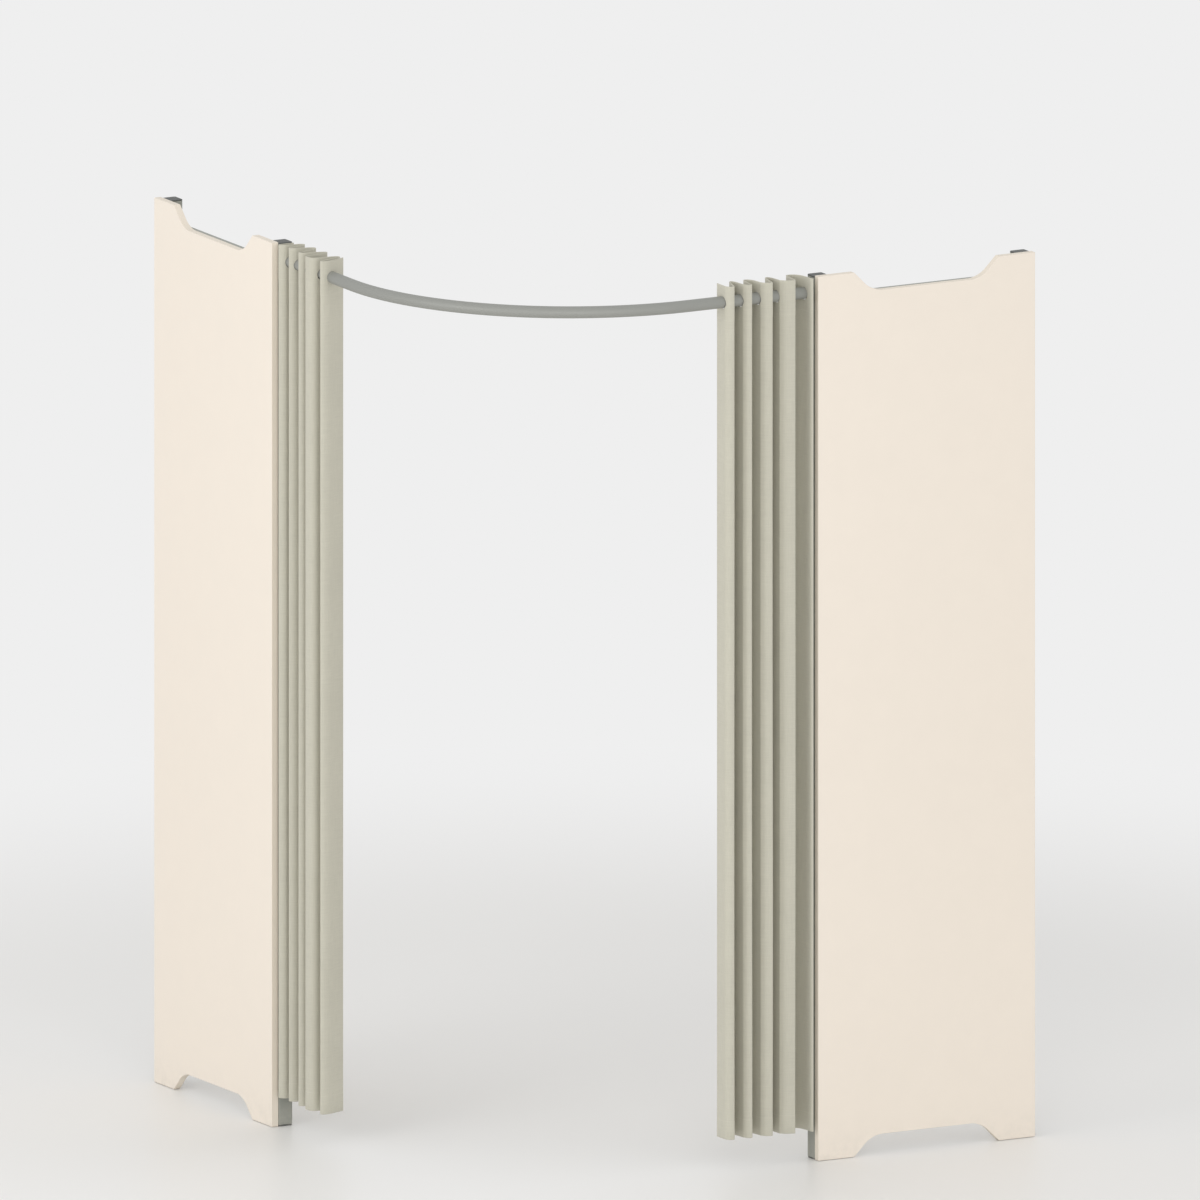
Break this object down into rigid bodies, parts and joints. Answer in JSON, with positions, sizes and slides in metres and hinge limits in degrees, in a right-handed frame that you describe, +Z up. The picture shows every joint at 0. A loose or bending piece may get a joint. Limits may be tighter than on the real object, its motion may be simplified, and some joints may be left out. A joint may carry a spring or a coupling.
{
  "type": "corner fitting room",
  "caption": "Corner fitting room: two slim panels on steel posts, a bent rail between them and two curtains gathered on it.",
  "frame": {"origin": "on the floor, at the middle of the 1.58 m square footprint", "axes": "+Z up; the walls' corner is at +X +Y, the left panel lies across X and the right panel across Y"},
  "size_m": [1.58, 1.58, 2.2],
  "materials": {
    "board": "smooth cream laminate",
    "frame_steel": "satin grey powder coat",
    "end_plastic": "matt dark grey moulding",
    "rail_coat": "satin grey powder coat",
    "screw_zinc": "bright zinc",
    "curtain_cloth": "plain dense weave, sage grey"
  },
  "bodies": {
    "frame": {"left_board": "board", "left_front_post": "frame_steel", "left_wall_post": "frame_steel", "left_front_post_cap": "end_plastic", "left_front_post_glide": "end_plastic", "left_wall_post_cap": "end_plastic", "left_wall_post_glide": "end_plastic", "left_top_bar": "frame_steel", "left_bottom_bar": "frame_steel", "left_lower_wall_bracket": "frame_steel", "left_upper_wall_bracket": "frame_steel", "left_rail_socket": "rail_coat", "left_socket_screw": "screw_zinc", "left_grub_screw": "screw_zinc", "left_board_screw_1": "screw_zinc", "left_board_screw_2": "screw_zinc", "left_board_screw_3": "screw_zinc", "left_board_screw_4": "screw_zinc", "left_board_screw_5": "screw_zinc", "left_board_screw_6": "screw_zinc", "left_bracket_screw_1": "screw_zinc", "left_bracket_screw_2": "screw_zinc", "left_bracket_screw_3": "screw_zinc", "left_bracket_screw_4": "screw_zinc", "right_board": "board", "right_front_post": "frame_steel", "right_wall_post": "frame_steel", "right_front_post_cap": "end_plastic", "right_front_post_glide": "end_plastic", "right_wall_post_cap": "end_plastic", "right_wall_post_glide": "end_plastic", "right_top_bar": "frame_steel", "right_bottom_bar": "frame_steel", "right_lower_wall_bracket": "frame_steel", "right_upper_wall_bracket": "frame_steel", "right_rail_socket": "rail_coat", "right_socket_screw": "screw_zinc", "right_grub_screw": "screw_zinc", "right_board_screw_1": "screw_zinc", "right_board_screw_2": "screw_zinc", "right_board_screw_3": "screw_zinc", "right_board_screw_4": "screw_zinc", "right_board_screw_5": "screw_zinc", "right_board_screw_6": "screw_zinc", "right_bracket_screw_1": "screw_zinc", "right_bracket_screw_2": "screw_zinc", "right_bracket_screw_3": "screw_zinc", "right_bracket_screw_4": "screw_zinc", "curtain_rail": "rail_coat"},
    "left_fold_1": {"left_curtain_fold_1": "curtain_cloth"},
    "left_fold_2": {"left_curtain_fold_2": "curtain_cloth"},
    "left_fold_3": {"left_curtain_fold_3": "curtain_cloth"},
    "left_fold_4": {"left_curtain_fold_4": "curtain_cloth"},
    "left_fold_5": {"left_curtain_fold_5": "curtain_cloth"},
    "right_fold_1": {"right_curtain_fold_1": "curtain_cloth"},
    "right_fold_2": {"right_curtain_fold_2": "curtain_cloth"},
    "right_fold_3": {"right_curtain_fold_3": "curtain_cloth"},
    "right_fold_4": {"right_curtain_fold_4": "curtain_cloth"},
    "right_fold_5": {"right_curtain_fold_5": "curtain_cloth"}
  },
  "joints": [
    {"name": "left_curtain_draw", "type": "hinge", "parent": "frame", "child": "left_fold_5", "pos_m": [-0.0481, -0.1064, 0], "axis": [0, 0, 1], "range_deg": [0, 46.3]},
    {"name": "left_fold_1_follow", "type": "slide", "parent": "frame", "child": "left_fold_1", "axis": [0, -1, 0], "range_m": [0, 0.1289]},
    {"name": "left_fold_2_follow", "type": "slide", "parent": "frame", "child": "left_fold_2", "axis": [0, -1, 0], "range_m": [0, 0.2313]},
    {"name": "left_fold_3_follow", "type": "hinge", "parent": "frame", "child": "left_fold_3", "pos_m": [1.3178, -0.0256, 0], "axis": [0, 0, 1], "range_deg": [0, 9.47]},
    {"name": "left_fold_4_follow", "type": "hinge", "parent": "frame", "child": "left_fold_4", "pos_m": [0.0597, -0.0872, 0], "axis": [0, 0, 1], "range_deg": [0, 31.64]},
    {"name": "right_curtain_draw", "type": "hinge", "parent": "frame", "child": "right_fold_5", "pos_m": [-0.1097, -0.0562, 0], "axis": [0, 0, -1], "range_deg": [0, 46.13]},
    {"name": "right_fold_1_follow", "type": "slide", "parent": "frame", "child": "right_fold_1", "axis": [-1, 0, 0], "range_m": [0, 0.053]},
    {"name": "right_fold_2_follow", "type": "slide", "parent": "frame", "child": "right_fold_2", "axis": [-1, 0, 0], "range_m": [0, 0.178]},
    {"name": "right_fold_3_follow", "type": "hinge", "parent": "frame", "child": "right_fold_3", "pos_m": [-0.0069, 2.9128, 0], "axis": [0, 0, -1], "range_deg": [0, 4.69]},
    {"name": "right_fold_4_follow", "type": "hinge", "parent": "frame", "child": "right_fold_4", "pos_m": [-0.1014, -0.0079, 0], "axis": [0, 0, -1], "range_deg": [0, 33.01]}
  ],
  "couplings": [
    {"joint": "left_fold_1_follow", "follows": "left_curtain_draw", "m_per_rad": 0.15934},
    {"joint": "left_fold_2_follow", "follows": "left_curtain_draw", "m_per_rad": 0.28614},
    {"joint": "left_fold_3_follow", "follows": "left_curtain_draw", "ratio": 0.20447},
    {"joint": "left_fold_4_follow", "follows": "left_curtain_draw", "ratio": 0.68336},
    {"joint": "right_fold_1_follow", "follows": "right_curtain_draw", "m_per_rad": 0.06568},
    {"joint": "right_fold_2_follow", "follows": "right_curtain_draw", "m_per_rad": 0.22101},
    {"joint": "right_fold_3_follow", "follows": "right_curtain_draw", "ratio": 0.10159},
    {"joint": "right_fold_4_follow", "follows": "right_curtain_draw", "ratio": 0.71548}
  ]
}
